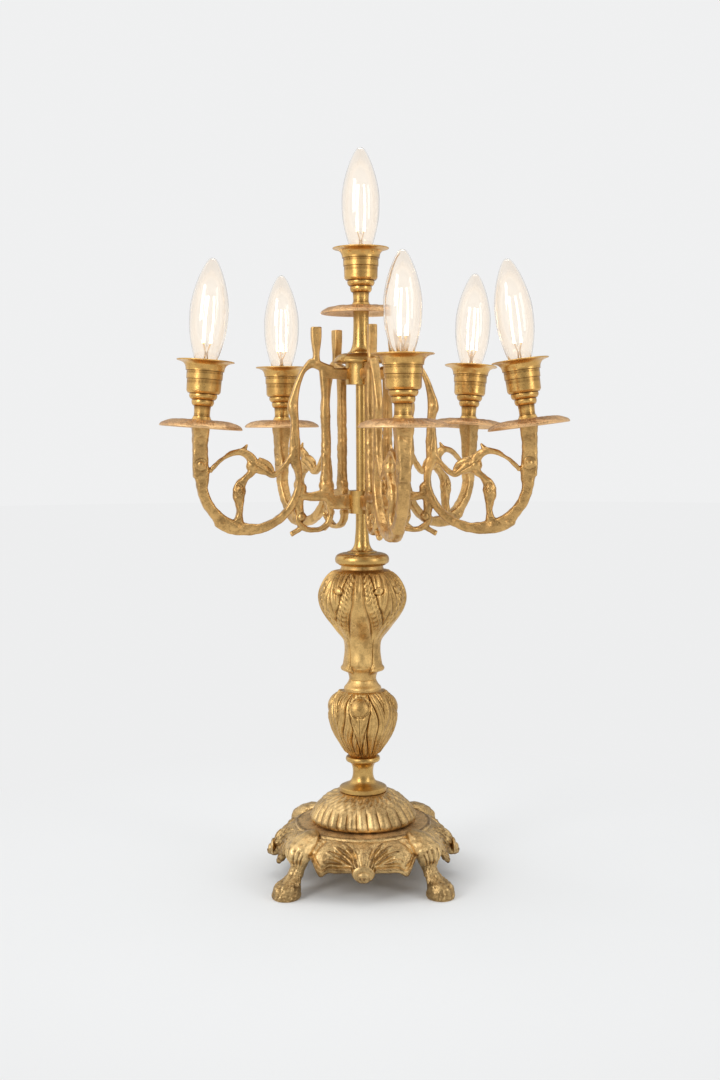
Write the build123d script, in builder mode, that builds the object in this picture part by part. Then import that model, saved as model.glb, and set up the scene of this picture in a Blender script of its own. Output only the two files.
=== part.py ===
"""An electric candelabra: six candle bulbs on a cast and turned brass stand.

Millimetres, +Z up. The origin is on the column's axis, level with the soles of the feet, and the front
faces -Y. Five cast scroll arms are screwed to two collars on the column, and a sixth light stands on top.
"""

import os
from math import cos, pi, radians, sin

from build123d import *

os.makedirs("parts", exist_ok=True)

# ---------------------------------------------------------------- driving dimensions
FOOT_CENTRE = 91.0  # from the axis to the middle of each paw
PLATFORM_TOP = 47.0  # the flat that the dome stands on
PLATFORM_R = 60.0  # the bead line round that flat
SKIRT_R, SKIRT_WAVE = 78.0, 6.0  # the skirt's rim swings by this much, outwards at its four pendants
SKIRT_RIM = 22.5
WALL = 3.0  # thickness of the hollow castings

DOME_TOP = 73.4
SPOOL_TOP = 103.7
BALUSTER_SEAM = 171.2  # where the lower and the upper baluster meet
DISC_BOTTOM = 271.6
BELL_BOTTOM, BELL_SEAM = 282.6, 298.1
COLLAR_LOW_BOTTOM, COLLAR_LOW_TOP = 317.0, 337.0
COLLAR_HIGH_BOTTOM, COLLAR_HIGH_TOP = 430.0, 449.0
CAP_TOP, UPPER_SEAM = 458.4, 475.2
TOP_SEAT = 496.3  # underside of the top drip pan, at its middle

ROD_R, ROD_BORE_R = 4.0, 2.9  # the tie rod, a tube threaded at both ends
ROD_BOTTOM = 30.0
ROD_HOLE_R = 4.15
COLLAR_LOW_R, COLLAR_HIGH_R, COLLAR_WALL = 12.3, 14.0, 2.6
TUBE_R = 4.9

ARM_RADIUS = 141.0  # from the column's axis to the candle's axis, as cast
ARM_SEAT = 396.5  # underside of an arm's drip pan, at its middle
STOUT, SLIM = 10.6, 8.0  # thickness of the heavy and of the light bands of a casting
SCREW_R, SCREW_HEAD_R = 1.9, 3.4

PAN_R, PAN_CROWN = 35.9, 3.0
CUP_RIM = 54.2  # height of a cup's rim over its pan's seat
NIPPLE_R, NIPPLE_BORE_R, NIPPLE_DEPTH = 4.8, 3.3, 9.0
SOCKET_R, SOCKET_BORE_R = 10.6, 7.3
THREAD_PITCH = 2.54  # of the bulb's candelabra screw
GLASS_WALL = 0.8
SMALL_BULB = 0.92  # the front light's bulb is a size smaller than the rest

# name, bearing from the front towards +X in degrees, the arm's stretch where it has been bent outwards,
# and how far the candle leans in towards the column in degrees
ARMS = [
    ("left", -77.0, 1.0, 4.3),
    ("front", 13.4, 1.0, 0.0),
    ("right", 80.5, 1.035, 7.3),
    ("back_right", 134.0, 1.0, -4.5),
    ("back_left", -147.0, 1.0, 0.0),
]


# ---------------------------------------------------------------- drawing helpers
def draw(path):
    """A closed outline. A point is reached by a straight line, and a list of points by one smooth curve."""
    here = path[0]
    for step in path[1:] + [path[0]]:
        if isinstance(step, list):
            Spline(here, *step)
            here = step[-1]
        elif step != here:
            Line(here, step)
            here = step


def section(plane):
    """The plane through an upright plane's Z axis in which x is the radius and y is the height."""
    return Plane(plane.origin, x_dir=plane.x_dir, z_dir=-plane.y_dir)


def axis_of(plane):
    return Axis(plane.origin, plane.z_dir)


def turned(path, plane=Plane.XY):
    """A solid turned about a plane's Z axis, from an outline of (radius, height)."""
    with BuildPart() as piece:
        with BuildSketch(section(plane)):
            with BuildLine():
                draw(path)
            make_face()
        revolve(axis=axis_of(plane))
    return piece.part


def band(points, stretch):
    """A flat band, from (x, y, width) along its middle, with x stretched."""
    points = [(x * stretch, y, width) for x, y, width in points]
    left, right = [], []
    for i, (x, y, width) in enumerate(points):
        before, after = points[max(i - 1, 0)], points[min(i + 1, len(points) - 1)]
        along = Vector(after[0] - before[0], after[1] - before[1]).normalized()
        side = Vector(-along.Y, along.X) * (width / 2)
        left.append((x + side.X, y + side.Y))
        right.append((x - side.X, y - side.Y))
    with BuildSketch() as face:
        with BuildLine():
            draw([left[0], left[1:], right[-1], right[-2::-1]])
        make_face()
    return face.sketch


def bearing_plane(bearing, radius=0.0, height=0.0, lean=0.0):
    """The upright plane at a bearing: x points outwards and z up, tipped inwards by the lean."""
    a, t = radians(bearing), radians(lean)
    out, up = Vector(sin(a), -cos(a), 0), Vector(0, 0, 1)
    return Plane(
        out * radius + up * height,
        x_dir=out * cos(t) + up * sin(t),
        z_dir=up * cos(t) - out * sin(t),
    )


def facing(bearing, height):
    """Upright across a bearing, on the column's axis: x points up and z outwards along the bearing."""
    way = bearing_plane(bearing, 0, height)
    return Plane(way.origin, x_dir=way.z_dir, z_dir=way.x_dir)


def write(name, part):
    part.label = name
    export_step(part, f"parts/{name}.step")


# ---------------------------------------------------------------- base
def lobed_ring(radius, wave):
    """A closed curve that swings outwards at the four sides and inwards at the four corners."""
    turns = [2 * pi * i / 32 for i in range(32)]
    reach = [radius + wave * cos(4 * a) for a in turns]
    Spline(*[(r * cos(a), r * sin(a)) for r, a in zip(reach, turns)], periodic=True)


def skirt(inset, low, high):
    """The body under the platform, shrunk by the inset, between two heights."""
    rows = [(low, SKIRT_R, SKIRT_WAVE), ((low + high) / 2 + 3, 71.5, 2.0), (high, PLATFORM_R, 0.0)]
    with BuildPart() as body:
        for height, radius, wave in rows:
            with BuildSketch(Plane.XY.offset(height)):
                with BuildLine():
                    lobed_ring(radius - inset, wave)
                make_face()
        loft()
    return body.part


def leg_sections():
    """Height, reach from the axis, and the radial and crosswise half widths down a leg, sole first."""
    return [
        (0.0, FOOT_CENTRE, 11.5, 11.0),
        (8.0, FOOT_CENTRE - 1.0, 11.5, 10.5),
        (17.0, 81.0, 6.5, 6.5),
        (30.0, 73.5, 8.0, 8.5),
        (43.0, 65.0, 9.0, 10.0),
    ]


with BuildPart() as base_casting:
    add(skirt(0, SKIRT_RIM, PLATFORM_TOP - WALL))
    with BuildSketch(Plane.XY.offset(PLATFORM_TOP - WALL)):
        Circle(PLATFORM_R - 0.6)
    extrude(amount=WALL, taper=38)
    add(skirt(WALL, SKIRT_RIM - 6, PLATFORM_TOP - 2 * WALL), mode=Mode.SUBTRACT)
    # Beside each leg the rim rises in an arch.
    for corner in range(45, 360, 90):
        with BuildSketch(facing(corner, SKIRT_RIM - 4).offset(58)):
            Circle(14)
        extrude(amount=40, mode=Mode.SUBTRACT)
    for corner in range(45, 360, 90):
        way = bearing_plane(corner)
        for height, reach, along, across in leg_sections():
            with BuildSketch(way.offset(height)):
                with Locations((reach, 0)):
                    Ellipse(along, across)
        loft()
    # A rounded pendant hangs from the middle of each side.
    for side in range(0, 360, 90):
        with BuildSketch(facing(side, SKIRT_RIM + 4).offset(76)):
            Circle(7.5)
        extrude(amount=8.6)
    Cylinder(ROD_HOLE_R, 200, mode=Mode.SUBTRACT)

base_dome = turned([
    (ROD_HOLE_R, DOME_TOP),
    (19.8, DOME_TOP),
    [(25.7, 71.9), (31.6, 68.4), (37.5, 62.4), (42.2, 56.0), (45.4, 51.0)],
    [(44.6, 48.3), (42.0, PLATFORM_TOP)],
    (39.0, PLATFORM_TOP),
    [(39.2, 54.0), (33.6, 61.6), (26.0, 67.6), (16.0, DOME_TOP - WALL)],
    (ROD_HOLE_R, DOME_TOP - WALL),
])

# ---------------------------------------------------------------- column
pedestal_spool = turned([
    (ROD_HOLE_R, DOME_TOP),
    (20.2, DOME_TOP),
    (20.7, DOME_TOP + 0.5),
    (20.7, DOME_TOP + 3.3),
    (20.0, DOME_TOP + 4.0),
    [(16.4, 79.0), (11.0, 82.1), (9.2, 86.5), (9.0, 91.5), (10.1, 96.2), (13.6, 99.6)],
    (14.5, 99.6),
    [(15.1, 101.4), (14.5, SPOOL_TOP - 0.4)],
    (13.4, SPOOL_TOP),
    (ROD_HOLE_R, SPOOL_TOP),
])

# The two balusters are hollow castings, with a web at each end that the tie rod passes through.
lower_baluster = turned([
    (ROD_HOLE_R, SPOOL_TOP),
    (11.4, SPOOL_TOP),
    [(16.3, 109.6), (20.9, 116.8), (25.1, 124.0), (28.6, 133.0), (29.9, 143.4), (28.3, 150.8),
     (24.2, 156.6), (18.6, 159.8), (14.9, 162.2), (13.6, 165.4), (12.4, 168.4)],
    (11.4, BALUSTER_SEAM),
    (ROD_HOLE_R, BALUSTER_SEAM),
    (ROD_HOLE_R, 167.6),
    (7.6, 167.6),
    [(10.6, 161.0), (15.6, 157.2), (22.0, 153.2), (25.4, 147.6), (26.2, 142.0), (24.8, 133.6),
     (21.4, 125.6), (17.0, 118.6), (12.6, 112.0)],
    (9.2, 107.2),
    (ROD_HOLE_R, 107.2),
])

upper_baluster = turned([
    (ROD_HOLE_R, BALUSTER_SEAM),
    (11.6, BALUSTER_SEAM),
    [(12.0, 174.5), (13.8, 178.0)],
    (18.0, 180.2),
    [(16.6, 187.0), (15.4, 197.0), (16.0, 204.0), (19.0, 211.0), (23.6, 219.0), (31.4, 227.0),
     (37.0, 237.0), (38.6, 244.0), (36.3, 252.0), (31.7, 261.0), (24.0, 266.6)],
    (18.4, 268.2),
    (18.0, DISC_BOTTOM),
    (ROD_HOLE_R, DISC_BOTTOM),
    (ROD_HOLE_R, 267.6),
    (14.0, 266.0),
    [(22.2, 263.2), (29.0, 258.0), (32.8, 250.6), (34.9, 243.8), (33.4, 238.2), (28.6, 230.0),
     (20.6, 221.6), (15.6, 212.8), (12.4, 205.0), (11.8, 197.0), (12.6, 188.0)],
    (12.0, 182.4),
    (8.6, 176.0),
    (ROD_HOLE_R, 175.2),
])

column_disc = turned([
    (ROD_HOLE_R, DISC_BOTTOM),
    (20.5, DISC_BOTTOM),
    (21.5, 273.6),
    [(23.6, 274.4), (24.0, 276.3), (23.0, 278.6)],
    [(19.5, 280.0), (15.6, BELL_BOTTOM - 0.4)],
    (15.0, BELL_BOTTOM),
    (ROD_HOLE_R, BELL_BOTTOM),
])

lower_bell = turned([
    (ROD_HOLE_R, BELL_BOTTOM),
    (13.0, BELL_BOTTOM),
    (13.0, BELL_BOTTOM + 0.8),
    [(9.6, 284.8), (7.7, 287.4), (6.5, 292.0), (5.9, BELL_SEAM)],
    (ROD_HOLE_R, BELL_SEAM),
])

# The spindle runs up inside the lower collar to its web.
lower_spindle = turned([
    (ROD_HOLE_R, BELL_SEAM),
    (5.9, BELL_SEAM),
    [(5.5, 305.0), (5.4, COLLAR_LOW_BOTTOM), (5.4, COLLAR_LOW_TOP - WALL)],
    (ROD_HOLE_R, COLLAR_LOW_TOP - WALL),
])

column_tube = turned([
    (ROD_HOLE_R, COLLAR_LOW_TOP),
    (TUBE_R, COLLAR_LOW_TOP),
    (TUBE_R, COLLAR_HIGH_BOTTOM),
    (ROD_HOLE_R, COLLAR_HIGH_BOTTOM),
])

column_cap = turned([
    (ROD_HOLE_R, COLLAR_HIGH_TOP),
    (23.4, COLLAR_HIGH_TOP),
    [(24.3, 450.4), (23.6, 452.0)],
    [(20.5, 455.6), (15.8, 457.3)],
    (11.9, 457.4),
    (11.9, CAP_TOP),
    (ROD_HOLE_R, CAP_TOP),
])

upper_bell = turned([
    (ROD_HOLE_R, CAP_TOP),
    (10.8, CAP_TOP),
    [(8.9, 461.6), (7.5, 467.0), (7.0, UPPER_SEAM)],
    (ROD_HOLE_R, UPPER_SEAM),
])

upper_spindle = turned([
    (ROD_HOLE_R, UPPER_SEAM),
    (7.0, UPPER_SEAM),
    [(6.8, 484.0), (7.0, TOP_SEAT - 1.0)],
    (6.4, TOP_SEAT),
    (ROD_HOLE_R + 1, TOP_SEAT),
    (ROD_HOLE_R + 1, TOP_SEAT - NIPPLE_DEPTH),
    (ROD_HOLE_R, TOP_SEAT - NIPPLE_DEPTH),
])

tie_rod = turned([
    (ROD_BORE_R, ROD_BOTTOM),
    (ROD_R, ROD_BOTTOM),
    (ROD_R, TOP_SEAT - NIPPLE_DEPTH - 1),
    (ROD_BORE_R, TOP_SEAT - NIPPLE_DEPTH - 1),
])


# ---------------------------------------------------------------- collars and arms
def collar(radius, bottom, top, web_bottom):
    """A ring with a web that the column bears on, and a hole through its wall for each arm's screw."""
    inner = radius - COLLAR_WALL
    with BuildPart() as piece:
        with BuildSketch(Plane.XY.offset(bottom)):
            Circle(radius)
        extrude(amount=top - bottom)
        with BuildSketch(Plane.XY.offset(bottom if web_bottom > bottom else web_bottom + WALL)):
            Circle(inner)
        extrude(amount=top - bottom - WALL, mode=Mode.SUBTRACT)
        with BuildSketch(Plane.XY.offset(bottom)):
            Circle(ROD_HOLE_R)
        extrude(amount=top - bottom, mode=Mode.SUBTRACT)
        for _, bearing, *_ in ARMS:
            with BuildSketch(facing(bearing, (bottom + top) / 2)):
                Circle(SCREW_R + 0.1)
            extrude(amount=radius + 2, mode=Mode.SUBTRACT)
    return piece.part


upper_collar = collar(COLLAR_HIGH_R, COLLAR_HIGH_BOTTOM, COLLAR_HIGH_TOP, COLLAR_HIGH_BOTTOM)
lower_collar = collar(COLLAR_LOW_R, COLLAR_LOW_BOTTOM, COLLAR_LOW_TOP, COLLAR_LOW_TOP - WALL)

HIGH_SCREW = (COLLAR_HIGH_BOTTOM + COLLAR_HIGH_TOP) / 2
LOW_SCREW = (COLLAR_LOW_BOTTOM + COLLAR_LOW_TOP) / 2

# Middle lines of an arm's bands: reach from the column's axis, height, width.
RING = [(142.0, 366, 13.4), (140.6, 350, 12.6), (140.2, 340, 9.4), (136.6, 328.5, 9.2), (129.6, 318.6, 9.6),
        (120.4, 309.6, 13.6), (112.0, 306.6, 13.8), (103.0, 305.2, 11.0), (93.0, 304.9, 8.8), (82.4, 308.0, 7.6),
        (70.6, 315.6, 7.2), (63.4, 324.2, 6.8), (59.0, 333.0, 6.2), (56.5, 343.0, 5.8), (56.6, 353.0, 6.4),
        (59.6, 365.0, 9.6), (59.6, 380.0, 9.0), (59.6, 392.0, 7.6)]
S_BAND = [(59.6, 388.0, 8.0), (59.8, 400.0, 7.2), (61.2, 411.0, 9.2), (59.2, 422.0, 6.6), (56.0, 433.0, 5.0),
          (50.6, 443.4, 4.8), (43.4, 448.6, 8.4), (36.4, 446.0, 8.0), (31.0, 443.4, 9.2), (24.0, 442.0, 9.0)]
SCROLL = [(134.0, 355.0, 4.0), (128.6, 361.0, 3.6), (121.6, 366.6, 3.4), (114.0, 370.6, 4.6), (106.6, 371.4, 6.2),
          (99.6, 367.6, 8.0), (96.0, 361.0, 9.4), (98.0, 353.6, 7.0), (103.0, 349.0, 5.4), (108.0, 342.0, 10.8),
          (108.8, 335.0, 11.6), (108.2, 326.0, 7.0), (108.6, 317.0, 6.4), (110.0, 309.0, 13.0)]
LEAF = [(97.0, 360.0, 10.0), (90.0, 357.4, 10.6), (83.6, 353.6, 6.4), (79.4, 350.6, 4.4), (74.0, 353.8, 4.4),
        (68.6, 360.0, 4.2), (63.6, 366.0, 6.0), (60.0, 374.0, 6.0)]
SPUR = [(106.0, 372.0, 6.6), (101.4, 377.2, 1.6)]
LEG = [(33.4, 444.0, 8.6), (32.6, 430.0, 8.2), (32.2, 410.0, 7.6), (32.4, 390.0, 8.2), (32.0, 370.0, 8.0),
       (32.4, 350.0, 8.4), (31.6, 336.0, 12.0)]
PEG = [(40.4, 449.0, 6.6), (40.4, 456.5, 5.2), (40.4, 464.0, 7.6), (40.4, 471.0, 9.2), (40.4, 480.5, 9.4)]
BAR = [(55.5, 333.4, 6.6), (46.0, 332.0, 7.6), (36.0, 333.0, 10.0), (24.0, 332.0, 13.0)]
C_SCROLL = [(30.6, 331.0, 8.0), (29.4, 323.0, 5.4), (28.2, 315.0, 5.2), (31.4, 307.4, 4.8), (38.0, 303.6, 4.0),
            (45.6, 303.0, 4.0), (52.6, 306.0, 5.0), (57.4, 311.6, 5.6), (55.6, 317.6, 5.6), (51.6, 316.4, 5.6)]
TAIL = [(53.0, 307.0, 5.4), (58.0, 302.8, 4.8), (63.0, 299.8, 4.4)]


def arm(bearing, stretch, lean):
    """One arm's casting: the scrolls, the stem bent up to a seat for the drip pan, and two lugs."""
    upright = bearing_plane(bearing)
    seat = bearing_plane(bearing, ARM_RADIUS * stretch, ARM_SEAT, lean)
    with BuildPart() as piece:
        with BuildSketch(section(upright)):
            add(band(RING, stretch))
        extrude(amount=STOUT / 2, both=True)
        with BuildSketch(section(upright)):
            for line in (S_BAND, SCROLL, LEAF, SPUR, LEG, PEG, BAR, C_SCROLL, TAIL):
                add(band(line, stretch))
        extrude(amount=SLIM / 2, both=True)
        # The stem swells from the ring up to its seat.
        with BuildSketch(upright.offset(360)):
            with Locations((142.0 * stretch, 0)):
                RectangleRounded(13.0, STOUT, 2.5)
        with BuildSketch(bearing_plane(bearing, 141.6 * stretch, 379, lean / 2)):
            RectangleRounded(12.6, 12.4, 3)
        with BuildSketch(seat):
            RectangleRounded(15.6, 16.6, 4)
        loft()
        # Lugs run in to the collars, which they fit round.
        for height, half, radius in ((HIGH_SCREW, 5.0, COLLAR_HIGH_R), (LOW_SCREW, 6.5, COLLAR_LOW_R)):
            with BuildSketch(facing(bearing, height)):
                RectangleRounded(2 * half, SLIM + 1, 2)
            extrude(amount=34)
            with BuildSketch(Plane.XY.offset(height - 12)):
                Circle(radius)
            extrude(amount=24, mode=Mode.SUBTRACT)
            with BuildSketch(facing(bearing, height)):
                Circle(SCREW_R)
            extrude(amount=26, mode=Mode.SUBTRACT)
        with BuildSketch(seat):
            Circle(NIPPLE_R + 0.1)
        extrude(amount=-NIPPLE_DEPTH, mode=Mode.SUBTRACT)
    return piece.part


def arm_screw(bearing, height, radius):
    """A round-headed screw, put in from inside the collar."""
    start = facing(bearing, height)
    inner = radius - COLLAR_WALL
    under_head = (inner**2 - SCREW_HEAD_R**2) ** 0.5 - 0.05
    with BuildPart() as piece:
        with BuildSketch(start.offset(under_head - 1.8)):
            Circle(SCREW_HEAD_R)
        extrude(amount=1.8)
        with BuildSketch(start.offset(under_head)):
            Circle(SCREW_R)
        extrude(amount=24 - under_head)
    return piece.part


# ---------------------------------------------------------------- lights
def light_seats():
    """Each light's name and the plane that its drip pan sits on."""
    seats = [("top", Plane.XY.offset(TOP_SEAT))]
    for name, bearing, stretch, lean in ARMS:
        seats.append((name, bearing_plane(bearing, ARM_RADIUS * stretch, ARM_SEAT, lean)))
    return seats


def drip_pan(seat):
    """A shallow saucer turned down at its rim."""
    return turned([
        (NIPPLE_R + 0.2, 0),
        (9.6, 0),
        [(15.0, 0.9), (22.0, 0.5), (29.0, -1.3), (PAN_R - 2.3, -3.8)],
        (PAN_R - 1.3, -4.3),
        [(PAN_R, -3.6), (PAN_R - 0.7, -2.0), (31.4, 0.8), (26.0, 2.5), (19.0, PAN_CROWN)],
        (NIPPLE_R + 0.2, PAN_CROWN),
    ], seat)


def candle_cup(seat):
    """A stepped bell with a wide lip, on a waisted neck."""
    rim = seat.offset(CUP_RIM)
    foot = PAN_CROWN - CUP_RIM
    return turned([
        (NIPPLE_R + 0.2, foot),
        (8.8, foot),
        [(7.7, -49.4), (7.3, -48.2)],
        (6.9, -48.0),
        [(6.9, -44.0), (7.3, -39.6)],
        (8.4, -39.2),
        [(9.5, -37.0), (9.4, -34.2)],
        (10.4, -33.8),
        [(11.9, -31.6), (11.8, -29.0)],
        (13.4, -28.6),
        (14.6, -26.8),
        (14.9, -16.6),
        (15.5, -16.3),
        (15.6, -9.5),
        (16.6, -9.2),
        [(17.0, -6.0), (18.6, -3.4), (21.4, -1.9), (24.4, -1.2)],
        [(24.9, -0.5), (24.3, 0.0)],
        [(20.6, -0.5), (17.0, -2.2), (14.6, -5.6), (13.4, -10.0)],
        (SOCKET_R + 0.2, -13.0),
        (SOCKET_R + 0.2, -30.2),
        (NIPPLE_R + 0.2, -30.2),
    ], rim)


def socket_body(seat):
    """The insulating body of a candelabra lampholder, standing on the floor of its cup."""
    return turned([
        (2.6, -30.2),
        (SOCKET_R, -30.2),
        (SOCKET_R, -13.0),
        (SOCKET_R - 1.0, -11.2),
        (SOCKET_BORE_R, -11.2),
        (SOCKET_BORE_R, -27.6),
        (2.6, -27.6),
    ], seat.offset(CUP_RIM))


def socket_shell(seat):
    """The screw shell that lines a lampholder."""
    return turned([(6.5, -26.0), (7.2, -26.0), (7.2, -13.2), (6.5, -13.2)], seat.offset(CUP_RIM))


def socket_contact(seat):
    """The centre contact in a lampholder's floor."""
    return turned([(0, -29.8), (2.5, -29.8), (2.5, -27.9), (1.6, -27.3), (0, -27.3)], seat.offset(CUP_RIM))


def nipple(seat):
    """The threaded tube that clamps the cup and the pan down on their stem."""
    top = CUP_RIM - 31.0
    return turned([
        (NIPPLE_BORE_R, -NIPPLE_DEPTH),
        (NIPPLE_R, -NIPPLE_DEPTH),
        (NIPPLE_R, top),
        (NIPPLE_BORE_R, top),
    ], seat)


def bulb_base(seat):
    """The bulb's metal cap: a collar, a screw drawn as plain rings, an insulator and a contact."""
    crest, root = 5.95, 5.3
    path = [(0, -9.8), (6.6, -9.8), (6.6, -12.6), (root, -12.9)]
    for turn in range(4):
        start = -13.1 - turn * THREAD_PITCH
        path += [(crest, start - 0.5), (crest, start - 1.3), (root, start - 1.9)]
    path += [(root, -24.0), (2.6, -26.0), (2.4, -26.8), (0, -27.0)]
    return turned(path, seat.offset(CUP_RIM))


GLASS_OUTER = [(6.3, -6.6), (8.8, -1.6), (11.0, 3.9), (13.4, 12.7), (15.7, 24.1), (16.6, 38.0), (16.2, 47.0),
               (14.2, 58.0), (10.9, 69.5), (6.4, 80.2), (2.6, 86.4), (0, 88.2)]


def bulb_glass(seat, size):
    """A thin-walled candle-shaped envelope, open at its neck."""
    neck = -9.8
    outer = [(r * size, h * size) for r, h in GLASS_OUTER]
    inner = [(r - GLASS_WALL, h) for r, h in outer[:-2]]
    tip = outer[-1][1]
    return turned([
        (5.5 - GLASS_WALL, neck),
        (5.5, neck),
        outer,
        (0, tip - GLASS_WALL),
        [(2.0 * size, tip - 2.8)] + inner[::-1],
    ], seat.offset(CUP_RIM))


def bulb_filament(seat):
    """The glass stem and the four glowing rods that it carries, between two spiders."""
    rim = seat.offset(CUP_RIM)
    bottom, top, spread, rod = 14.0, 56.0, 4.6, 0.9
    with BuildPart() as piece:
        with BuildSketch(rim.offset(-9.8)):
            Circle(3.6)
        with BuildSketch(rim.offset(2)):
            Circle(2.6)
        loft()
        with BuildSketch(rim.offset(2)):
            Circle(1.3)
        extrude(amount=top - 2)
        for height in (bottom, top - 1):
            with BuildSketch(rim.offset(height)):
                Circle(spread + rod + 0.4)
            extrude(amount=1)
        with BuildSketch(rim.offset(bottom)):
            with PolarLocations(spread, 4, start_angle=45):
                Circle(rod)
        extrude(amount=top - bottom)
    return piece.part


# ---------------------------------------------------------------- fastenings and wiring
with BuildPart() as base_washer:
    with BuildSketch(Plane.XY.offset(PLATFORM_TOP - 2 * WALL - 2)):
        Circle(16)
        Circle(ROD_HOLE_R, mode=Mode.SUBTRACT)
    extrude(amount=2)

with BuildPart() as base_nut:
    with BuildSketch(Plane.XY.offset(PLATFORM_TOP - 2 * WALL - 7)):
        RegularPolygon(7.5, 6)
        Circle(ROD_R, mode=Mode.SUBTRACT)
    extrude(amount=5)

cord_bushing = turned([
    (ROD_BORE_R - 0.6, ROD_BOTTOM - 3),
    (7.0, ROD_BOTTOM - 3),
    (7.0, ROD_BOTTOM),
    (ROD_BORE_R, ROD_BOTTOM),
    (ROD_BORE_R, ROD_BOTTOM + 7),
    (ROD_BORE_R - 0.6, ROD_BOTTOM + 7),
])

with BuildPart() as supply_leads:
    with BuildSketch(Plane.XY.offset(ROD_BOTTOM + 9)):
        with Locations((-1.3, 0), (1.3, 0)):
            Circle(1.05)
    extrude(amount=TOP_SEAT + CUP_RIM - 31.0 - ROD_BOTTOM - 9)

# ---------------------------------------------------------------- writing
single = {
    "base_casting": base_casting.part,
    "base_dome": base_dome,
    "pedestal_spool": pedestal_spool,
    "lower_baluster": lower_baluster,
    "upper_baluster": upper_baluster,
    "column_disc": column_disc,
    "lower_bell": lower_bell,
    "lower_spindle": lower_spindle,
    "lower_collar": lower_collar,
    "column_tube": column_tube,
    "upper_collar": upper_collar,
    "column_cap": column_cap,
    "upper_bell": upper_bell,
    "upper_spindle": upper_spindle,
    "tie_rod": tie_rod,
    "base_washer": base_washer.part,
    "base_nut": base_nut.part,
    "cord_bushing": cord_bushing,
    "supply_leads": supply_leads.part,
}
for name, part in single.items():
    write(name, part)

for name, bearing, stretch, lean in ARMS:
    write(f"arm_{name}", arm(bearing, stretch, lean))

seats = light_seats()
per_light = {
    "drip_pan": drip_pan,
    "candle_cup": candle_cup,
    "bulb_base": bulb_base,
    "bulb_filament": bulb_filament,
}
for kind, make in per_light.items():
    for name, seat in seats:
        write(f"{kind}_{name}", make(seat))
for name, seat in seats:
    write(f"bulb_glass_{name}", bulb_glass(seat, SMALL_BULB if name == "front" else 1.0))

# Identical pieces that are out of sight share a node, as separate solids.
grouped = {
    "sockets": socket_body,
    "socket_shells": socket_shell,
    "socket_contacts": socket_contact,
    "nipples": nipple,
}
for kind, make in grouped.items():
    write(kind, Compound(children=[make(seat) for _, seat in seats]))

screws = []
for _, bearing, *_ in ARMS:
    screws.append(arm_screw(bearing, HIGH_SCREW, COLLAR_HIGH_R))
    screws.append(arm_screw(bearing, LOW_SCREW, COLLAR_LOW_R))
write("arm_screws", Compound(children=screws))
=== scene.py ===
"""The looks of the candelabra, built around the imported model: cast and turned brass, lit candle bulbs."""

from math import cos, pi, radians, sin, sqrt

import bpy
import numpy as np
from mathutils import Matrix, Vector


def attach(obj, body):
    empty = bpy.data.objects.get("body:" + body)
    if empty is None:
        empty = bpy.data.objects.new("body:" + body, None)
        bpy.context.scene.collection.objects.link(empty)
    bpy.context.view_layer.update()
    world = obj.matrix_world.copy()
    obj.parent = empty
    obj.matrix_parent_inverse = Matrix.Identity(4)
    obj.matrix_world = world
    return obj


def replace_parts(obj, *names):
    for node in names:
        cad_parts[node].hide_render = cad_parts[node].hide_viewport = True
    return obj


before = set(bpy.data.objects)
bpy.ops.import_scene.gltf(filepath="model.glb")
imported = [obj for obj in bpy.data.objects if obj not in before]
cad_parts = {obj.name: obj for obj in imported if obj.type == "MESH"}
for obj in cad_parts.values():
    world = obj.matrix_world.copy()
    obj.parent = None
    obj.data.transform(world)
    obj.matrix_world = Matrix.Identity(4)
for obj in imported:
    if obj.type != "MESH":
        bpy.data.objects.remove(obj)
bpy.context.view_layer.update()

MM = 0.001
LIGHTS = ["top", "left", "front", "right", "back_right", "back_left"]
# Each arm's bearing from the front towards +X, its stretch outwards and its candle's lean inwards; degrees.
ARMS = {
    "left": (-77, 1, 4.3),
    "front": (13.4, 1, 0),
    "right": (80.5, 1.035, 7.3),
    "back_right": (134, 1, -4.5),
    "back_left": (-147, 1, 0),
}
SMALL_BULB = 0.92  # the front light's bulb is a size smaller
ARM_RADIUS, ARM_SEAT, TOP_SEAT = 141, 396.5, 496.3
CUP_RIM = 54.2  # of a candle cup, over its drip pan's seat
ROD_HOLE = 4.2  # radius of the hole for the tie rod through the column's castings
GLASS_WALL = 0.8  # of a bulb's envelope
PLATFORM_TOP = 46.9  # the flat on the base that the dome stands on
UPPER_COLLAR, LOWER_COLLAR = 14, 12.3  # radii of the collars that the arms are screwed to
STEM_FOOT = 362  # height where an arm's stem starts to lean
LOBES = 28  # round the dome


# ---------------- frames and curves
def seat_matrix(light):
    """From a light's own frame, whose z runs up its candle from the drip pan's seat, to the row frame."""
    if light == "top":
        return Matrix.Translation((0, 0, TOP_SEAT * MM))
    bearing, stretch, lean = ARMS[light]
    bearing, lean = radians(bearing), radians(lean)
    out, up = Vector((sin(bearing), -cos(bearing), 0)), Vector((0, 0, 1))
    x = out * cos(lean) + up * sin(lean)
    z = up * cos(lean) - out * sin(lean)
    y = z.cross(x)
    turn = Matrix((x, y, z)).transposed().to_4x4()
    place = out * ARM_RADIUS * stretch * MM + up * ARM_SEAT * MM
    return Matrix.Translation(place) @ turn


def bulb_matrix(light):
    """From a bulb's own frame, whose origin is in the plane of its cup's rim, to the row frame."""
    size = SMALL_BULB if light == "front" else 1
    return seat_matrix(light) @ Matrix.Translation((0, 0, CUP_RIM * MM)) @ Matrix.Scale(size, 4)


def bearing_matrix(bearing):
    """From a frame whose x runs outwards along a bearing to the row frame."""
    return Matrix.Rotation(radians(bearing - 90), 4, "Z")


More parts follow.
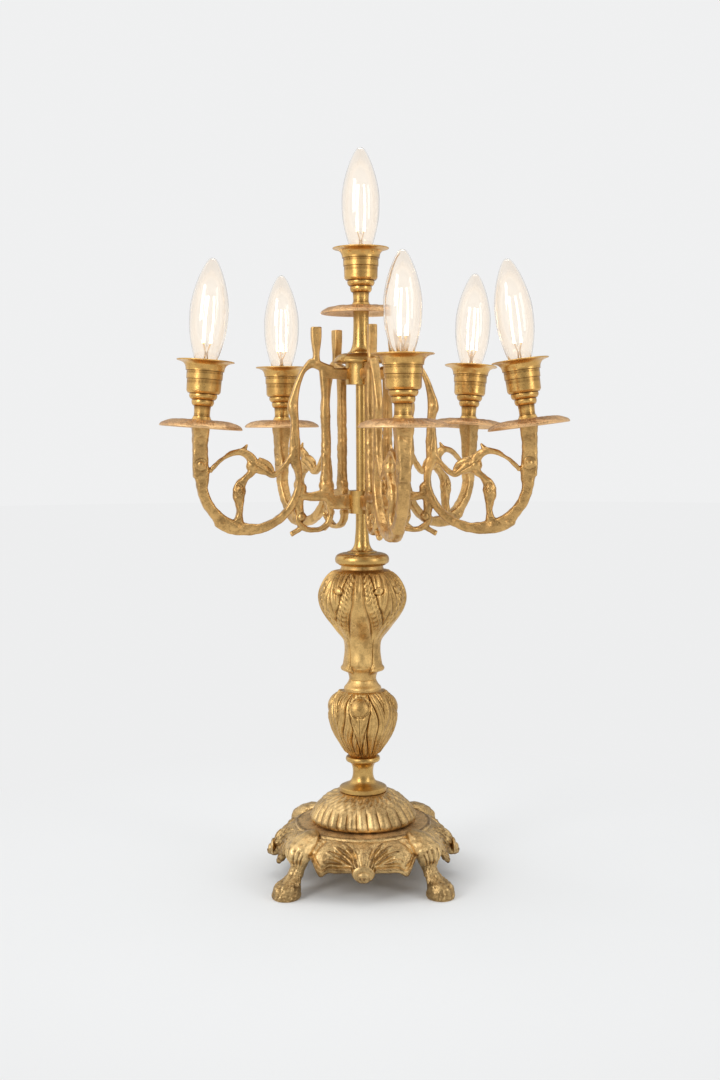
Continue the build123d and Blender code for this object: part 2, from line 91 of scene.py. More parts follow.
def smooth_path(points, count):
    """Points evenly spaced along a smooth curve through the given ones, with any further columns."""
    p = np.array(points, float)
    step = np.sqrt((np.diff(p[:, :2], axis=0) ** 2).sum(1))
    knot = np.concatenate([[0], np.cumsum(np.maximum(step, 1e-6))])
    slope = np.gradient(p, knot, axis=0)
    fine = np.linspace(0, knot[-1], 40 * len(p))
    fine = hermite(knot, p, slope, fine)
    run = np.concatenate([[0], np.cumsum(np.sqrt((np.diff(fine[:, :2], axis=0) ** 2).sum(1)))])
    want = np.linspace(0, run[-1], count)
    return np.stack([np.interp(want, run, fine[:, k]) for k in range(p.shape[1])], 1)


def hermite(knot, p, slope, at):
    """Values between the knots of a cubic curve with the given slopes."""
    i = np.clip(np.searchsorted(knot, at, side="right") - 1, 0, len(knot) - 2)
    gap = (knot[i + 1] - knot[i])[:, None]
    t = ((at - knot[i])[:, None]) / gap
    a = (1 + 2 * t) * (1 - t) ** 2
    b = t * (1 - t) ** 2
    c = t**2 * (3 - 2 * t)
    d = t**2 * (t - 1)
    return a * p[i] + b * gap * slope[i] + c * p[i + 1] + d * gap * slope[i + 1]


def ease(low, high, x):
    """0 up to low, 1 from high, smooth between."""
    t = np.clip((x - low) / (high - low), 0, 1)
    return t * t * (3 - 2 * t)


def hump(x, centre, half):
    """A smooth bump of height 1."""
    return np.exp(-(((x - centre) / half) ** 2))


# ---------------- meshes
def mesh_object(name, verts, faces, material, slot):
    """A smooth-shaded mesh piece, from vertices in millimetres."""
    mesh = bpy.data.meshes.new(name)
    mesh.from_pydata([tuple(v) for v in np.asarray(verts) * MM], [], faces)
    mesh.update()
    piece = bpy.data.objects.new(name, mesh)
    bpy.context.scene.collection.objects.link(piece)
    mesh.materials.append(material)
    mesh.polygons.foreach_set("use_smooth", [True] * len(mesh.polygons))
    return piece


def grid_faces(rows, columns, wrap_rows=False):
    """Quads over a grid whose columns go round, and whose rows may too."""
    faces = []
    for i in range(rows if wrap_rows else rows - 1):
        a, b = i * columns, ((i + 1) % rows) * columns
        for j in range(columns):
            k = (j + 1) % columns
            faces.append((a + j, a + k, b + k, b + j))
    return faces


def polar_grid(reach, height, angles):
    """Vertices of a grid, from arrays of reach and height over rows and angles."""
    return np.stack([reach * np.cos(angles), reach * np.sin(angles), height], -1).reshape(-1, 3)


def carved(name, path, count, turns, relief, material, slot, ends=()):
    """A turned piece with relief: the path of (radius, height) is smooth, and the ends close it with corners.

    relief(angle, height, along) gives how far the surface stands out from the path, in millimetres.
    """
    line = smooth_path(path, count)
    tangent = np.gradient(line, axis=0)
    tangent /= np.sqrt((tangent**2).sum(1))[:, None]
    normal = np.stack([tangent[:, 1], -tangent[:, 0]], 1)
    angles = np.linspace(0, 2 * pi, turns, endpoint=False)[None, :]
    along = np.linspace(0, 1, count)[:, None]
    out = relief(angles, line[:, 1:2], along) * np.ones((count, turns))
    reach = line[:, 0:1] + normal[:, 0:1] * out
    height = line[:, 1:2] + normal[:, 1:2] * out
    for r, z in ends:
        reach = np.vstack([reach, np.full((1, turns), r)])
        height = np.vstack([height, np.full((1, turns), z)])
    verts = polar_grid(reach, height, angles * np.ones((len(reach), 1)))
    return mesh_object(name, verts, grid_faces(len(reach), turns, wrap_rows=True), material, slot)


def ring_points(half_x, half_y, count, square=2):
    """Points round a superellipse: 2 is an ellipse, and more is squarer."""
    a = np.linspace(0, 2 * pi, count, endpoint=False)
    c, s = np.cos(a), np.sin(a)
    x = np.sign(c) * np.abs(c) ** (2 / square) * half_x
    y = np.sign(s) * np.abs(s) ** (2 / square) * half_y
    return x, y


def lofted(rings):
    """Vertices and faces of a closed skin over rings of equal counts, capped at both ends."""
    n = len(rings[0])
    verts = np.concatenate(rings)
    faces = grid_faces(len(rings), n)
    faces.append(tuple(range(n - 1, -1, -1)))
    last = (len(rings) - 1) * n
    faces.append(tuple(range(last, last + n)))
    return verts, faces


def ribbon(points, thickness, around, square):
    """A rounded bar in the xz plane, from (x, z, width) along its middle, with a ring at each millimetre.

    The thickness is across the plane: one value, or the first and the last.
    """
    length = sum(sqrt((b[0] - a[0]) ** 2 + (b[1] - a[1]) ** 2) for a, b in zip(points, points[1:]))
    line = smooth_path(points, max(6, int(length)))
    tangent = np.gradient(line[:, :2], axis=0)
    tangent /= np.sqrt((tangent**2).sum(1))[:, None]
    side = np.stack([-tangent[:, 1], tangent[:, 0]], 1)
    first, last = thickness if isinstance(thickness, tuple) else (thickness, thickness)
    rings = []
    for k, (x, z, width) in enumerate(line):
        depth = first + (last - first) * k / (len(line) - 1)
        u, v = ring_points(width / 2, depth / 2, around, square)
        rings.append(np.stack([x + side[k, 0] * u, v, z + side[k, 1] * u], 1))
    return lofted(rings)


def ball(centre, half, rings=12, around=20):
    """An ellipsoid lump."""
    rows = []
    for i in range(1, rings):
        a = pi * i / rings
        x, y = ring_points(half[0] * sin(a), half[1] * sin(a), around)
        rows.append(np.stack([x, y, np.full(around, -half[2] * cos(a))], 1) + np.array(centre))
    return lofted(rows)


def join(parts):
    """Several pairs of vertices and faces as one."""
    verts, faces, start = [], [], 0
    for v, f in parts:
        verts.append(np.asarray(v))
        faces += [tuple(i + start for i in face) for face in f]
        start += len(v)
    return np.concatenate(verts), faces


def fused(parts, voxel, smoothing):
    """Overlapping closed lumps melted into one skin, as vertices in millimetres and faces."""
    verts, faces = join(parts)
    mesh = bpy.data.meshes.new("lumps")
    mesh.from_pydata([tuple(v) for v in verts], [], faces)
    piece = bpy.data.objects.new("lumps", mesh)
    bpy.context.scene.collection.objects.link(piece)
    remesh = piece.modifiers.new("fuse", "REMESH")
    remesh.mode = "VOXEL"
    remesh.voxel_size = voxel
    relax = piece.modifiers.new("relax", "SMOOTH")
    relax.factor, relax.iterations = 0.5, smoothing
    bpy.context.view_layer.update()
    done = piece.evaluated_get(bpy.context.evaluated_depsgraph_get()).to_mesh()
    co = np.zeros(len(done.vertices) * 3)
    done.vertices.foreach_get("co", co)
    quads = [tuple(p.vertices) for p in done.polygons]
    piece.to_mesh_clear()
    bpy.data.objects.remove(piece)
    bpy.data.meshes.remove(mesh)
    return co.reshape(-1, 3), quads


def normals_of(verts, faces):
    """A smooth normal at each vertex."""
    f = np.array([q[:4] if len(q) >= 4 else (*q, q[-1]) for q in faces])
    n = np.cross(verts[f[:, 2]] - verts[f[:, 0]], verts[f[:, 3]] - verts[f[:, 1]])
    total = np.zeros_like(verts)
    for k in range(4):
        np.add.at(total, f[:, k], n)
    return total / np.maximum(np.sqrt((total**2).sum(1)), 1e-12)[:, None]


def grain(verts, size, seed):
    """Soft lumpy noise of about unit height, from sines whose directions and phases are fixed by the seed."""
    rng = np.random.default_rng(seed)
    total = np.zeros(len(verts))
    for _ in range(14):
        way = rng.normal(size=3)
        way *= rng.uniform(0.6, 1.7) * 2 * pi / size / np.sqrt((way**2).sum())
        total += np.sin(verts @ way + rng.uniform(0, 2 * pi))
    return total / sqrt(14 / 2)


# ---------------- shader helpers
class Nodes:
    """The shader nodes of a material or of the world, being built up."""

    def __init__(self, owner, output):
        owner.use_nodes = True
        self.tree = owner.node_tree
        self.tree.nodes.clear()
        self.out = self.tree.nodes.new(output)

    def node(self, kind, settings=None, **inputs):
        """A node, with its sockets given by name, or by number as i0, i1 and so on."""
        n = self.tree.nodes.new("ShaderNode" + kind)
        for key, value in (settings or {}).items():
            setattr(n, key, value)
        for key, value in inputs.items():
            numbered = key[0] == "i" and key[1:].isdigit()
            socket = n.inputs[int(key[1:]) if numbered else key.replace("_", " ")]
            if isinstance(value, bpy.types.NodeSocket):
                self.tree.links.new(value, socket)
            else:
                socket.default_value = value
        return n

    def place(self):
        """The shaded point's place, in metres."""
        return self.node("TexCoord").outputs["Object"]

    def noise(self, scale, detail, rough, vector=None):
        """A value about 0.5 that varies from place to place, with so many lumps to the metre."""
        where = vector or self.place()
        node = self.node("TexNoise", None, Vector=where, Scale=scale, Detail=detail, Roughness=rough)
        return node.outputs["Fac"]

    def math(self, operation, a, b=0, clamp=False):
        return self.node("Math", {"operation": operation, "use_clamp": clamp}, i0=a, i1=b).outputs[0]

    def ramp(self, value, *stops):
        """A colour or a grey at each (position, colour)."""
        n = self.node("ValToRGB", None, Fac=value)
        elements = n.color_ramp.elements
        while len(elements) < len(stops):
            elements.new(0.5)
        for element, (position, colour) in zip(elements, stops):
            element.position = position
            grey = not isinstance(colour, tuple)
            element.color = (colour, colour, colour, 1) if grey else (*colour, 1)
        return n.outputs["Color"]

    def mix(self, factor, a, b, blend="MIX"):
        """Colour a where the factor is 0, and b where it is 1."""
        n = self.node("Mix", {"data_type": "RGBA", "blend_type": blend})
        for key, value in ((0, factor), (6, a), (7, b)):
            if isinstance(value, bpy.types.NodeSocket):
                self.tree.links.new(value, n.inputs[key])
            else:
                n.inputs[key].default_value = (*value, 1) if isinstance(value, tuple) else value
        return n.outputs[2]

    def bump(self, height, distance, strength=1, normal=None):
        n = self.node("Bump", None, Height=height, Distance=distance, Strength=strength)
        if normal is not None:
            self.tree.links.new(normal, n.inputs["Normal"])
        return n.outputs["Normal"]

    def either(self, factor, a, b):
        """One shader where the factor is 0, and the other where it is 1, on the output."""
        both = self.node("MixShader", None, Fac=factor, i1=a.outputs[0], i2=b.outputs[0])
        self.tree.links.new(both.outputs[0], self.out.inputs["Surface"])


class Shader(Nodes):
    """A node material being built up."""

    def __init__(self, name):
        self.material = bpy.data.materials.new(name)
        super().__init__(self.material, "ShaderNodeOutputMaterial")

    def finish(self, **inputs):
        """The material, with a principled surface."""
        principled = self.node("BsdfPrincipled", None, **inputs)
        self.tree.links.new(principled.outputs[0], self.out.inputs["Surface"])
        return self.material


def cast_brass(name, light, middle, dark, rough=0.27, stipple=1, foot_darkening=0):
    """Sand-cast brass: dark in its hollows, rubbed bright on its ridges, with a fine pitted skin.

    Stipple scales the pitting; the last argument makes a casting browner towards its foot, from about 5 to 35
    mm up.
    """
    s = Shader(name)
    blotch = s.noise(28, 6, 0.6)
    mottle = s.noise(130, 5, 0.65)
    fine = s.noise(900, 3, 0.6)
    pits = s.noise(2300, 2, 0.5)
    ridge = s.ramp(s.node("NewGeometry").outputs["Pointiness"], (0.455, 0), (0.56, 1))
    brown = tuple(0.45 * a + 0.55 * b for a, b in zip(middle, dark))
    body = s.mix(s.ramp(blotch, (0.36, 0), (0.64, 1)), middle, light)
    body = s.mix(s.ramp(mottle, (0.34, 0.55), (0.52, 0)), body, brown)
    dirty = s.ramp(blotch, (0.35, 1), (0.62, 0.3))
    grime = s.math("MULTIPLY", s.ramp(fine, (0.38, 1), (0.52, 0)), dirty)
    body = s.mix(s.math("MULTIPLY", grime, min(0.5 * stipple, 0.8)), body, dark)
    # Browner towards the foot: at full strength below about 5 mm up, fading out by 35 mm.
    if foot_darkening:
        tall = s.math("MULTIPLY", s.node("SeparateXYZ", None, Vector=s.place()).outputs["Z"], 20)
        body = s.mix(s.ramp(tall, (0.1, foot_darkening), (0.7, 0)), body, brown)
    colour = s.mix(s.ramp(ridge, (0, 0.9), (0.43, 0)), body, dark)
    colour = s.mix(s.ramp(ridge, (0.60, 0), (1, 0.85)), colour, light)
    roughness = s.math("ADD", rough, s.math("MULTIPLY", s.math("SUBTRACT", 1, ridge), 0.20))
    roughness = s.math("ADD", roughness, s.math("MULTIPLY", s.math("SUBTRACT", fine, 0.5), 0.35))
    normal = s.bump(mottle, 0.0004 * stipple, 0.3)
    normal = s.bump(fine, 0.0003 * stipple, 0.5, normal)
    normal = s.bump(pits, 0.00014 * stipple, 0.5, normal)
    return s.finish(Base_Color=colour, Metallic=1, Roughness=roughness, Normal=normal)


def turned_brass(name, light, dark, matrix=Matrix(), grooves=()):
    """Lathe-turned brass: fine rings round its axis, dark lines in its grooves, and a thin uneven tarnish.

    The grooves are heights over the matrix's origin, in millimetres.
    """
    s = Shader(name)
    local = matrix.inverted()
    along = s.node("VectorMath", {"operation": "DOT_PRODUCT"}, i0=s.place(), i1=local.to_3x3()[2])
    height = s.math("ADD", along.outputs["Value"], local.translation.z)
    line = s.node("CombineXYZ", None, Z=height).outputs[0]
    rings = s.noise(1500, 3, 0.7, line)
    blotch = s.noise(45, 5, 0.6)
    mottle = s.noise(160, 5, 0.65)
    specks = s.noise(1100, 3, 0.6)
    hollow = s.ramp(s.node("NewGeometry").outputs["Pointiness"], (0.46, 1), (0.495, 0))
    brown = tuple(0.55 * v + 0.45 * w for v, w in zip(light, dark))
    colour = s.mix(s.ramp(blotch, (0.40, 0), (0.68, 0.8)), light, brown)
    colour = s.mix(s.ramp(mottle, (0.36, 0.65), (0.52, 0)), colour, brown)
    colour = s.mix(s.ramp(rings, (0.34, 0.3), (0.48, 0)), colour, dark)
    colour = s.mix(s.math("MULTIPLY", s.ramp(specks, (0.34, 1), (0.42, 0)), 0.5), colour, dark)
    colour = s.mix(s.math("MULTIPLY", hollow, 0.85), colour, dark)
    if grooves:
        span = 60  # millimetres that the ramp covers
        line_shape = ((-0.5, 0), (-0.1, 0.9), (0.1, 0.9), (0.5, 0))
        stops = [(0, 0)] + [((groove + d) / span, grey) for groove in grooves for d, grey in line_shape]
        colour = s.mix(s.ramp(s.math("DIVIDE", height, span * MM), *stops), colour, dark)
    roughness = s.math("ADD", 0.25, s.math("MULTIPLY", s.math("SUBTRACT", blotch, 0.42), 0.5), clamp=True)
    normal = s.bump(rings, 0.00006, 0.4)
    normal = s.bump(mottle, 0.0005, 0.35, normal)
    return s.finish(Base_Color=colour, Metallic=1, Roughness=roughness, Normal=normal)


def plain(name, colour, metallic, rough):
    """A small hidden piece's finish, with a little grain."""
    s = Shader(name)
    value = s.noise(400, 4, 0.6)
    shade = s.mix(value, tuple(0.75 * v for v in colour), colour)
    roughness = s.math("ADD", rough, s.math("MULTIPLY", s.math("SUBTRACT", value, 0.5), 0.2))
    normal = s.bump(value, 0.0001, 0.5)
    return s.finish(Base_Color=shade, Metallic=metallic, Roughness=roughness, Normal=normal)


GOLD = (0.84, 0.55, 0.21)
GOLD_MID = (0.52, 0.31, 0.105)
BROWN = (0.12, 0.058, 0.018)
POLISHED = (0.82, 0.50, 0.16)
TARNISH = (0.20, 0.085, 0.02)

# Each casting's colours are those of its ridges, its flats and its hollows.
CAST = cast_brass("cast_brass", GOLD, GOLD_MID, BROWN)
CAST_ARM = cast_brass(
    "cast_brass_arm", (0.80, 0.50, 0.19), (0.50, 0.30, 0.11), (0.12, 0.058, 0.02), stipple=0.6)
CAST_BASE = cast_brass(
    "cast_brass_base", (0.87, 0.61, 0.28), (0.46, 0.30, 0.125), (0.12, 0.06, 0.022), stipple=1.3, foot_darkening=0.6)
STIPPLED = cast_brass(
    "cast_brass_stippled", (0.90, 0.64, 0.32), (0.60, 0.40, 0.19), BROWN, rough=0.42, stipple=3)
PAN = cast_brass(
    "pan_brass", (0.94, 0.62, 0.31), (0.62, 0.36, 0.17), (0.20, 0.09, 0.035), rough=0.30, stipple=1.9)
TURNED = turned_brass("turned_brass", (0.66, 0.42, 0.14), TARNISH)
STEEL = plain("zinc_steel", (0.62, 0.61, 0.58), 1, 0.42)
PLASTIC = plain("dark_plastic", (0.045, 0.038, 0.032), 0, 0.45)
SHELL = plain("bare_brass", (0.80, 0.62, 0.32), 1, 0.28)
CAP = plain("bulb_cap", (0.82, 0.70, 0.42), 1, 0.25)


def bulb_glass():
    """Clear glass, warm where it is seen edge on; lamp rays pass straight through."""
    s = Shader("bulb_glass")
    waves = s.noise(30, 2, 0.5)
    glass = s.node("BsdfPrincipled", None, Base_Color=(1, 0.95, 0.89, 1), Roughness=0, IOR=1.45,
                   Transmission_Weight=1, Normal=s.bump(waves, 0.0004, 0.12))
    clear = s.node("BsdfTransparent", None, Color=(1, 0.98, 0.95, 1))
    s.either(s.node("LightPath").outputs["Is Shadow Ray"], glass, clear)
    return s.material


def glow(name, colour, strength):
    """A glowing solid."""
    s = Shader(name)
    value = s.noise(160, 3, 0.5)
    shade = s.mix(value, tuple(0.9 * v for v in colour), colour)
    amber = (0.9, 0.7, 0.45, 1)
    return s.finish(Base_Color=amber, Roughness=0.4, Emission_Color=shade, Emission_Strength=strength)


def halo(name, colour, cover):
    """Light in a bulb, as thin veils that let most of what is behind them through."""
    s = Shader(name)
    clear = s.node("BsdfTransparent", None, Color=(1, 1, 1, 1))
    lit = s.node("Emission", None, Color=(*colour, 1), Strength=1.12)
    s.either(cover, clear, lit)
    return s.material


GLASS = bulb_glass()
WIRE = plain("gold_wire", (0.72, 0.42, 0.10), 0.5, 0.4)
FILAMENT = glow("filament_rods", (1, 0.86, 0.60), 14)
HALO = halo("filament_halo", (1, 0.98, 0.94), 0.24)
VEIL = halo("bulb_veil", (0.96, 0.88, 0.78), 0.13)


# ---------------- stage, lights and camera
BACKDROP = (0.868, 0.872, 0.876)


def make_stage():
    """A pale floor that fades into the same pale surroundings."""
    radius, corners = 6, 64
    turns = [2 * pi * i / corners for i in range(corners)]
    verts = [(0, 0, 0)] + [(radius * cos(a), radius * sin(a), 0) for a in turns]
    faces = [(0, i + 1, (i + 1) % corners + 1) for i in range(corners)]
    mesh = bpy.data.meshes.new("floor")
    mesh.from_pydata(verts, [], faces)
    floor = bpy.data.objects.new("floor", mesh)
    bpy.context.scene.collection.objects.link(floor)
    s = Shader("pale_floor")
    reach = s.node("VectorMath", {"operation": "LENGTH"}, i0=s.place()).outputs["Value"]
    far = s.ramp(s.math("DIVIDE", reach, 2), (0.035, 0), (0.065, 0.30), (0.24, 1))
    paint = s.node("BsdfDiffuse", None, Color=(0.83, 0.85, 0.86, 1))
    lit = s.node("Emission", None, Color=(*BACKDROP, 1), Strength=0.98)
    s.either(far, paint, lit)
    mesh.materials.append(s.material)


def make_world():
    """Pale to look at; what the brass mirrors is bright at the sides and above, and dim elsewhere."""
    world = bpy.data.worlds.new("studio")
    bpy.context.scene.world = world
    w = Nodes(world, "ShaderNodeOutputWorld")
    way = w.node("SeparateXYZ", None, Vector=w.node("TexCoord").outputs["Generated"])
    half = {"operation": "MULTIPLY_ADD"}
    sideways = w.node("Math", half, i0=way.outputs["X"], i1=0.5, i2=0.5).outputs[0]
    upwards = w.node("Math", half, i0=way.outputs["Z"], i1=0.5, i2=0.5).outputs[0]
    greys = ((0, 1), (0.12, 1.25), (0.30, 0.75), (0.50, 0.34), (0.70, 0.55), (0.88, 0.95), (1, 0.7))
    across = w.ramp(sideways, *greys)
    rising = w.ramp(upwards, (0.30, 0.55), (0.50, 0.75), (0.75, 1.05), (1, 1.25))
    studio = w.mix(1, across, rising, "MULTIPLY")
    seen = w.node("Background", None, Color=(*BACKDROP, 1), Strength=1)
    mirrored = w.node("Background", None, Color=studio, Strength=1)
    path = w.node("LightPath").outputs
    w.either(w.math("MAXIMUM", path["Is Camera Ray"], path["Is Transmission Ray"]), mirrored, seen)


def area_light(name, place, aim, size, power):
    """A white rectangular softbox."""
    data = bpy.data.lights.new(name, "AREA")
    data.shape = "RECTANGLE"
    data.size, data.size_y = size
    data.energy = power
    lamp = bpy.data.objects.new(name, data)
    lamp.location = place
    lamp.rotation_mode = "QUATERNION"
    lamp.rotation_quaternion = (Vector(aim) - Vector(place)).to_track_quat("-Z", "Y")
    bpy.context.scene.collection.objects.link(lamp)


CAMERA_REACH = 35 / 27  # the lens's length over the height of its picture


def make_camera():
    """In front, a little under the candle cups' height, and turned a trace about its view."""
    data = bpy.data.cameras.new("camera")
    data.sensor_fit = "VERTICAL"
    data.sensor_height = 24
    data.lens = data.sensor_height * CAMERA_REACH
    data.shift_y, data.shift_x = -0.1065, -0.0014
    data.clip_start, data.clip_end = 0.05, 50
    camera = bpy.data.objects.new("camera", data)
    camera.location = (0, -1.232, 0.3945)
    camera.rotation_euler = (radians(90), radians(0.25), 0)
    bpy.context.scene.collection.objects.link(camera)
    bpy.context.scene.camera = camera


make_stage()
make_world()
make_camera()
area_light("key", (-1.2, -1.3, 1.1), (0, 0, 0.3), (0.6, 1.1), 11)
area_light("fill", (1.5, -1.1, 0.9), (0, 0, 0.3), (0.5, 1.2), 5)
area_light("over", (0.1, 0.3, 1.9), (0, 0, 0.2), (1.2, 0.8), 7)
bpy.context.scene.view_settings.view_transform = "Standard"

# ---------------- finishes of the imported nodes
CUP_STEPS = (6.1, 14.8, 20.2, 25.4, 37.75, 44.85)  # heights of a cup's grooves over its seat
FINISHES = {
    "base_casting": CAST_BASE, "base_dome": CAST_BASE, "lower_baluster": CAST, "upper_baluster": CAST,
    "tie_rod": STEEL, "base_washer": STEEL, "base_nut": STEEL, "arm_screws": STEEL, "nipples": STEEL,
    "cord_bushing": PLASTIC, "supply_leads": PLASTIC, "sockets": PLASTIC,
    "socket_shells": SHELL, "socket_contacts": SHELL,
}
for light in LIGHTS:
    cup_brass = turned_brass("cup_brass_" + light, POLISHED, TARNISH, seat_matrix(light), CUP_STEPS)
    FINISHES.update({
        "candle_cup_" + light: cup_brass, "drip_pan_" + light: PAN, "bulb_base_" + light: CAP,
        "bulb_glass_" + light: GLASS, "bulb_filament_" + light: FILAMENT,
    })
FINISHES.update({"arm_" + light: CAST_ARM for light in ARMS})
for name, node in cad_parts.items():
    node.data.materials.clear()
    node.data.materials.append(FINISHES.get(name, TURNED))

# ---------------- base
def from_panel(angles):
    """Degrees from the middle of the nearest side, signed; the legs are at 45."""
    return (np.degrees(angles) + 45) % 90 - 45


def skirt_rim(q):
    """Reach and height of the skirt's rim: a pendant in the middle, and an arch beside each leg."""
    q = np.abs(q)
    corner = 26.6
    pendant = np.sqrt(np.clip(1 - (q / 7.4) ** 2.6, 0, 1))
    reach = 72 / np.cos(np.radians(np.minimum(q, corner))) - 0.28 * np.maximum(q - corner, 0)
    reach = reach + 11 * hump(q, 0, 6.4) + 1.4 * hump(q, corner, 3)
    height = 23.6 - 5.4 * pendant - 3 * hump(q, 26, 2.1) + 9.5 * ease(28.6, 34.5, q)
    return reach, height - 0.5 * hump(q, 15, 5)


def fans(q, t, reach):
    """Relief of the skirt: a palmette of bold blades on each side of a bud, over a rolled rim."""
    up = (1 - t) * 33
    side = np.abs(reach * np.sin(np.radians(q)))
    # Broad blades spring from low in the middle and sweep outwards.
    blade_spread = 14
    distance = np.hypot(side - 1, up + 4)
    spread = np.degrees(np.arctan2(side - 1, np.maximum(up + 4, 0.01))) - 0.35 * distance
    blade = np.cos(np.radians(spread * 360 / blade_spread))
    tips = 34 + 3 * blade
    inside = ease(7, 12, distance) * (1 - ease(tips - 4, tips, distance)) * ease(2, 8, spread)
    inside = inside * (1 - ease(29, 33, np.abs(q))) * (1 - ease(0.80, 0.86, t)) * ease(0.05, 0.16, t)
    relief = inside * np.clip(distance / 20, 0.3, 1.1) * (1.1 * blade + 0.2)
    # The bud in the middle: small leaves over the pendant.
    leaves = ((0, 4.4, 4.2, 4.6), (5.4, 9, 2.6, 4.4), (0, 14, 2.6, 5.6), (5.6, 20, 2.8, 3.4))
    for place, height, half, tall in leaves:
        d = ((side - place) / half) ** 2 + ((up - height) / tall) ** 2
        relief = relief + 1.2 * np.sqrt(np.clip(1 - d, 0, 1))
    # A hollow beside each knee.
    beside = reach * np.sin(np.radians(45 - np.abs(q)))
    relief = relief - 2.2 * hump(beside, 14.2, 2.6) * ease(0.04, 0.14, t) * (1 - ease(0.82, 0.95, t))
    # A rolled edge above the rim.
    return relief + 1.9 * hump(t, 0.945, 0.045) - 1.2 * hump(t, 0.86, 0.04)


def skirt_curve(t, edge, rim):
    """Reach and height of the skirt's swept side, from its edge at t = 0 to its rim at t = 1."""
    reach = edge[0] + (rim[0] - edge[0]) * (t + 0.10 * np.sin(pi * t))
    height = edge[1] - (edge[1] - rim[1]) * (0.25 * t + 0.75 * t**2.2)
    return reach, height


def make_skirt():
    """The skirt and the platform, as one closed shell about 3 mm thick."""
    turns, rows = 960, 110
    angles = np.linspace(0, 2 * pi, turns, endpoint=False)[None, :]
    q = from_panel(angles)
    rim_reach, rim_height = skirt_rim(q)
    t = np.linspace(0, 1, rows)[:, None]
    edge_r, edge_z = 59.4, 45.2
    reach, height = skirt_curve(t, (edge_r, edge_z), (rim_reach, rim_height))
    out = fans(q, t, reach)
    slope_r, slope_z = np.gradient(reach, axis=0), np.gradient(height, axis=0)
    length = np.sqrt(slope_r**2 + slope_z**2)
    outer = (reach - slope_z / length * out, height + slope_r / length * out)
    inner = skirt_curve(
        np.linspace(1, 0, 24)[:, None], (edge_r - 2.8, edge_z - 3.6), (rim_reach - 2.8, rim_height))
    lip = [(rim_reach + d, rim_height + h) for d, h in ((-0.5, -0.5), (-1.4, -0.8), (-2.3, -0.5))]
    top = [
        (ROD_HOLE, PLATFORM_TOP), (30, PLATFORM_TOP), (44, PLATFORM_TOP), (50, PLATFORM_TOP),
        (54, PLATFORM_TOP), (55.4, 46.95), (56.4, 47.2), (57.3, 47.35), (58.1, 47.2), (58.7, 46.8),
        (59.1, 46.2),
    ]
    under = [(57.6, 41.6), (30, 41.2), (ROD_HOLE, 41.2)]
    one = np.ones((1, turns))
    reach, height = (
        np.vstack([row[k] * one for row in top] + [outer[k]] + [row[k] * one for row in lip] + [inner[k]]
                  + [row[k] * one for row in under])
        for k in (0, 1)
    )
    verts = polar_grid(reach, height, angles * np.ones((len(reach), 1)))
    return verts, grid_faces(len(reach), turns, wrap_rows=True)


# Height of the section, its reach, and its half width along and across the bearing.
LEG = [
    (0, 91, 10.9, 10.4), (0.9, 91, 11.4, 11), (6, 90.8, 11.5, 11), (10, 89.8, 10.8, 10.2),
    (13.4, 87, 9.2, 8.8), (16.2, 83, 7.4, 7.2), (20, 79.6, 6.5, 6.3), (24, 77.2, 6.7, 6.5),
    (27, 77, 8, 8), (31, 76.8, 10.2, 10.6), (36, 75, 11.8, 12.6), (41, 71.8, 12, 12.4),
    (45.6, 67.6, 10.6, 10.4), (49, 63.6, 7.4, 7), (50.8, 60.8, 2.4, 2.4),
]


def make_leg():
    """A leg along +X: a shell-fluted knee, a slim ankle and a paw with four toes."""
    around, rows = 96, 110
    rings = []
    for z, reach, along, across in smooth_path(LEG, rows):
        x, y = ring_points(along, across, around, 2.2)
        rings.append(np.stack([reach + x, y, np.full(around, z)], 1))
    verts, faces = lofted(rings)
    normal = normals_of(verts, faces)
    x, y, z = verts.T
    outward = np.clip(normal[:, 0] * 1.4 + 0.35, 0, 1)
    # Flutes fill the knee's lower part, inside a smooth rolled arch.
    facing = np.degrees(np.arctan2(normal[:, 1], normal[:, 0]))
    arch = np.hypot(facing / 82, np.maximum(z - 30, 0) / 11)
    knee = ease(24, 28, z) * (1 - ease(0.84, 0.95, arch))
    relief = knee * (1.5 * np.abs(np.cos(np.radians(facing * 180 / 23))) ** 0.8 - 1.4)
    relief += 0.9 * hump(arch, 1.10, 0.15) * ease(24, 29, z)
    shin = ease(13, 17, z) * (1 - ease(24, 28, z))
    relief += shin * outward * (0.6 * hump(y, 0, 1.8) - 0.4 * (hump(y, 3.2, 1) + hump(y, -3.2, 1)))
    paw = (1 - ease(10, 14, z)) * ease(0.4, 2, z) * ease(90, 97, x)
    for place in (-4.6, 1.2, 6):
        relief -= 0.4 * paw * hump(y, place, 1.2)
    relief -= 0.5 * hump(z, 14.2, 1.4) * outward
    sole = ease(0.05, 0.6, z)
    relief += sole * (0.22 * grain(verts, 8, 3) + 0.14 * grain(verts, 2, 4) * (1 - 0.7 * ease(26, 32, z)))
    return verts + normal * (relief * sole)[:, None], faces


